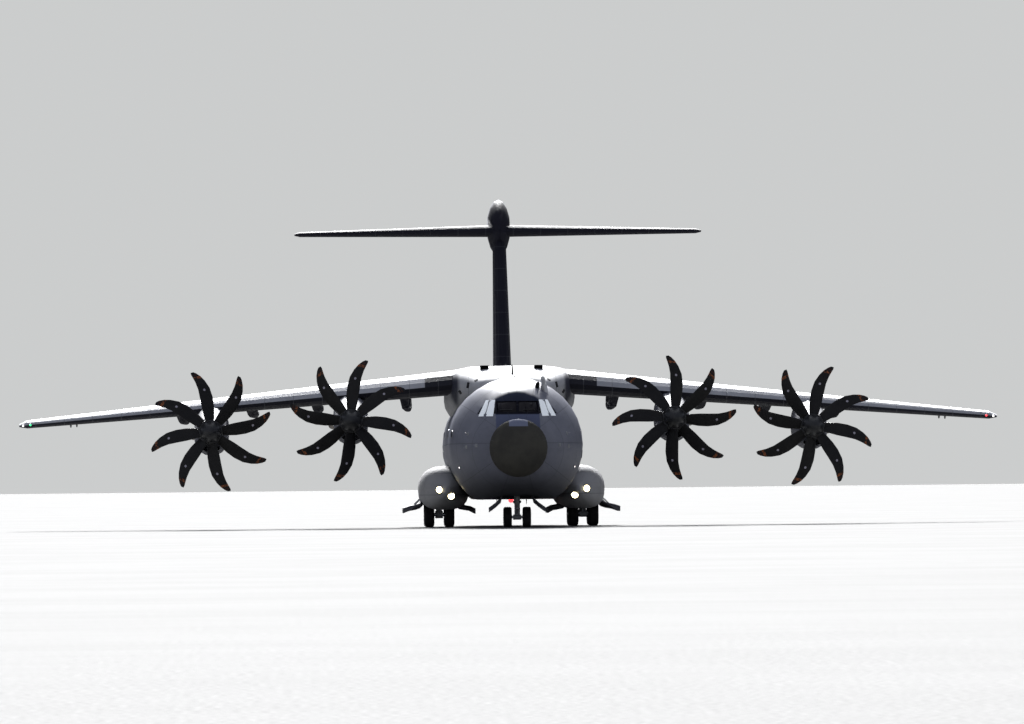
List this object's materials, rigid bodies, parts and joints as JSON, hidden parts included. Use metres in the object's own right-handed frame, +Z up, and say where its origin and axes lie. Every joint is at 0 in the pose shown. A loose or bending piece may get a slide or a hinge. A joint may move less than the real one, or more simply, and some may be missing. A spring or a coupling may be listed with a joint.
{
  "type": "half-size scale model of a four-propeller military transport plane",
  "caption": "High-wing, T-tail military transport plane on its wheels, with curved-blade propellers, a rear loading ramp and moving wing and tail surfaces, as a half-size scale model.",
  "frame": {"origin": "on the ground below the middle of the length, on the plane of symmetry", "axes": "+X to the left of the aircraft, +Y aft, +Z up; the nose points to -Y"},
  "size_m": [21.2, 22.55, 7.35],
  "materials": {
    "painted_alloy": "satin",
    "painted_composite": "satin",
    "radome": "satin",
    "glass": "gloss",
    "blade": "satin",
    "gear_metal": "satin",
    "tyre": "matte",
    "cockpit_fittings": "matte",
    "floor_alloy": "satin"
  },
  "bodies": {
    "airframe": {"radome": "radome", "nose_fuselage": "painted_alloy", "cockpit_glazing": "glass", "flight_deck": "cockpit_fittings", "cargo_floor": "floor_alloy", "wing_fairing": "painted_composite", "centre_fuselage": "painted_alloy", "paratroop_door_left": "painted_alloy", "paratroop_door_right": "painted_alloy", "rear_fuselage": "painted_composite", "refuelling_probe": "painted_composite", "wing_left": "painted_composite", "sponson_left": "painted_composite", "gear_door_outer_left": "painted_composite", "gear_door_inner_left": "painted_composite", "main_gear_legs_left": "gear_metal", "nacelle_inner_left": "painted_alloy", "nacelle_outer_left": "painted_alloy", "wing_right": "painted_composite", "sponson_right": "painted_composite", "gear_door_outer_right": "painted_composite", "gear_door_inner_right": "painted_composite", "main_gear_legs_right": "gear_metal", "nacelle_inner_right": "painted_alloy", "nacelle_outer_right": "painted_alloy", "nose_gear_leg": "gear_metal", "nose_door_left": "painted_composite", "nose_door_right": "painted_composite", "tailplane": "painted_composite", "fin": "painted_composite"},
    "propeller_inner_left": {"propeller_inner_left": "blade"},
    "flap_inner_left": {"flap_inner_left": "painted_composite"},
    "propeller_outer_left": {"propeller_outer_left": "blade"},
    "flap_outer_left": {"flap_outer_left": "painted_composite"},
    "aileron_left": {"aileron_left": "painted_composite"},
    "elevator_left": {"elevator_left": "painted_composite"},
    "main_wheels_1_left": {"main_wheels_1_left": "tyre"},
    "main_wheels_2_left": {"main_wheels_2_left": "tyre"},
    "main_wheels_3_left": {"main_wheels_3_left": "tyre"},
    "propeller_inner_right": {"propeller_inner_right": "blade"},
    "flap_inner_right": {"flap_inner_right": "painted_composite"},
    "propeller_outer_right": {"propeller_outer_right": "blade"},
    "flap_outer_right": {"flap_outer_right": "painted_composite"},
    "aileron_right": {"aileron_right": "painted_composite"},
    "elevator_right": {"elevator_right": "painted_composite"},
    "main_wheels_1_right": {"main_wheels_1_right": "tyre"},
    "main_wheels_2_right": {"main_wheels_2_right": "tyre"},
    "main_wheels_3_right": {"main_wheels_3_right": "tyre"},
    "nose_gear_fork": {"nose_gear_fork": "gear_metal"},
    "nose_wheels": {"nose_wheels": "tyre"},
    "rudder": {"rudder": "painted_composite"},
    "cargo_ramp": {"cargo_ramp": "painted_composite"},
    "cargo_door": {"cargo_door": "painted_composite"},
    "crew_door": {"crew_door": "painted_alloy"}
  },
  "joints": [
    {"name": "propeller_inner_left_spin", "type": "hinge", "parent": "airframe", "child": "propeller_inner_left", "pos_m": [3.43, -4.825, 2.28], "axis": [0, 1, 0], "continuous": true},
    {"name": "propeller_outer_left_spin", "type": "hinge", "parent": "airframe", "child": "propeller_outer_left", "pos_m": [6.415, -3.825, 2.085], "axis": [0, 1, 0], "continuous": true},
    {"name": "main_wheels_1_left_roll", "type": "hinge", "parent": "airframe", "child": "main_wheels_1_left", "pos_m": [1.545, -2.435, 0.2673], "axis": [1, 0, 0], "continuous": true},
    {"name": "main_wheels_2_left_roll", "type": "hinge", "parent": "airframe", "child": "main_wheels_2_left", "pos_m": [1.545, -1.675, 0.2673], "axis": [1, 0, 0], "continuous": true},
    {"name": "main_wheels_3_left_roll", "type": "hinge", "parent": "airframe", "child": "main_wheels_3_left", "pos_m": [1.545, -0.915, 0.2673], "axis": [1, 0, 0], "continuous": true},
    {"name": "flap_inner_left_swing", "type": "hinge", "parent": "airframe", "child": "flap_inner_left", "pos_m": [1.6969, -0.6411, 2.7925], "axis": [-0.9855, -0.1479, 0.0837], "range_deg": [0, 40]},
    {"name": "flap_outer_left_swing", "type": "hinge", "parent": "airframe", "child": "flap_outer_left", "pos_m": [4.6469, -0.1982, 2.542], "axis": [-0.9855, -0.1479, 0.0837], "range_deg": [0, 40]},
    {"name": "aileron_left_swing", "type": "hinge", "parent": "airframe", "child": "aileron_left", "pos_m": [7.85, 0.1913, 2.523], "axis": [-0.9847, -0.1526, 0.0838], "range_deg": [-25, 25]},
    {"name": "elevator_left_swing", "type": "hinge", "parent": "airframe", "child": "elevator_left", "pos_m": [0.575, 9.7842, 6.625], "axis": [-0.969, -0.2472, 0], "range_deg": [-25, 20]},
    {"name": "propeller_inner_right_spin", "type": "hinge", "parent": "airframe", "child": "propeller_inner_right", "pos_m": [-3.43, -4.825, 2.28], "axis": [0, 1, 0], "continuous": true},
    {"name": "propeller_outer_right_spin", "type": "hinge", "parent": "airframe", "child": "propeller_outer_right", "pos_m": [-6.415, -3.825, 2.085], "axis": [0, 1, 0], "continuous": true},
    {"name": "main_wheels_1_right_roll", "type": "hinge", "parent": "airframe", "child": "main_wheels_1_right", "pos_m": [-1.545, -2.435, 0.2673], "axis": [1, 0, 0], "continuous": true},
    {"name": "main_wheels_2_right_roll", "type": "hinge", "parent": "airframe", "child": "main_wheels_2_right", "pos_m": [-1.545, -1.675, 0.2673], "axis": [1, 0, 0], "continuous": true},
    {"name": "main_wheels_3_right_roll", "type": "hinge", "parent": "airframe", "child": "main_wheels_3_right", "pos_m": [-1.545, -0.915, 0.2673], "axis": [1, 0, 0], "continuous": true},
    {"name": "flap_inner_right_swing", "type": "hinge", "parent": "airframe", "child": "flap_inner_right", "pos_m": [-1.6969, -0.6411, 2.7925], "axis": [-0.9855, 0.1479, -0.0837], "range_deg": [0, 40]},
    {"name": "flap_outer_right_swing", "type": "hinge", "parent": "airframe", "child": "flap_outer_right", "pos_m": [-4.6469, -0.1982, 2.542], "axis": [-0.9855, 0.1479, -0.0837], "range_deg": [0, 40]},
    {"name": "aileron_right_swing", "type": "hinge", "parent": "airframe", "child": "aileron_right", "pos_m": [-7.85, 0.1913, 2.523], "axis": [-0.9847, 0.1526, -0.0838], "range_deg": [-25, 25]},
    {"name": "elevator_right_swing", "type": "hinge", "parent": "airframe", "child": "elevator_right", "pos_m": [-0.575, 9.7842, 6.625], "axis": [-0.969, 0.2472, 0], "range_deg": [-25, 20]},
    {"name": "rudder_swing", "type": "hinge", "parent": "airframe", "child": "rudder", "pos_m": [0, 8.35, 3.475], "axis": [0, 0.3968, 0.9179], "range_deg": [-30, 30]},
    {"name": "nose_steering", "type": "hinge", "parent": "airframe", "child": "nose_gear_fork", "pos_m": [0, -8.625, 0.2158], "axis": [0, 0, 1], "range_deg": [-60, 60]},
    {"name": "nose_wheels_roll", "type": "hinge", "parent": "nose_gear_fork", "child": "nose_wheels", "pos_m": [0, -8.625, 0.2158], "axis": [1, 0, 0], "continuous": true},
    {"name": "cargo_ramp_swing", "type": "hinge", "parent": "airframe", "child": "cargo_ramp", "pos_m": [0, 2.51, 0.68], "axis": [-1, 0, 0], "range_deg": [0, 28.5]},
    {"name": "cargo_door_swing", "type": "hinge", "parent": "airframe", "child": "cargo_door", "pos_m": [0, 7.665, 2.06], "axis": [-1, 0, 0], "range_deg": [0, 22]},
    {"name": "crew_door_swing", "type": "hinge", "parent": "airframe", "child": "crew_door", "pos_m": [1.0675, -8.1, 0.8775], "axis": [0.0665, 0.9978, 0], "range_deg": [0, 105]}
  ]
}
